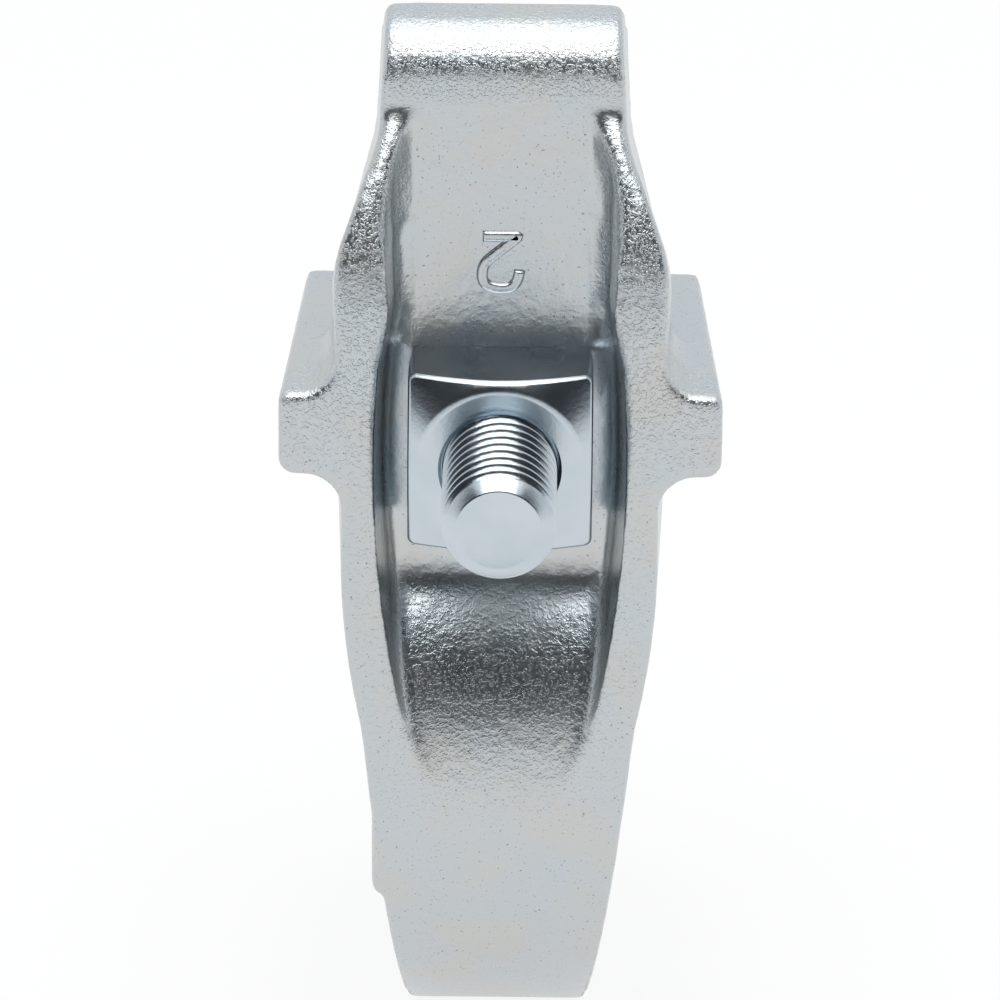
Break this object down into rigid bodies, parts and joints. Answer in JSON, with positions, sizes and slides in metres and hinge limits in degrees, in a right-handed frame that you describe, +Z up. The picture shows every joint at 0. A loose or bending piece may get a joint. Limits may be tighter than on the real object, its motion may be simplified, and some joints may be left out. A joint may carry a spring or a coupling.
{
  "type": "parallel conduit clamp",
  "caption": "Cast conduit clamp: jaws drawn together by a bolt and captive square nut, hooks gripping a conduit below and a toothed nose pinching a beam flange above.",
  "frame": {"origin": "middle of the gripped conduit, half way along the hooks", "axes": "+X along the conduit, +Z up to the beam flange, +Y from the square nut in front to the bolt head behind"},
  "size_m": [0.0492, 0.0956, 0.1273],
  "materials": {
    "casting": "zinc-plated as-cast surface, fine grain",
    "fastener": "bright zinc-plated steel"
  },
  "bodies": {
    "front": {"front_jaw": "casting", "square_nut": "fastener"},
    "rear": {"rear_jaw": "casting"},
    "screw": {"bolt": "fastener"}
  },
  "joints": [
    {"name": "jaw_slide", "type": "slide", "parent": "front", "child": "rear", "axis": [0, 1, 0], "range_m": [-0.00391, 0.01368]},
    {"name": "bolt_turn", "type": "hinge", "parent": "rear", "child": "screw", "pos_m": [0, 0, 0.04215], "axis": [0, 1, 0], "range_deg": [-720, 2520]}
  ],
  "couplings": [
    {"joint": "bolt_turn", "follows": "jaw_slide", "rad_per_m": 3215.8}
  ]
}
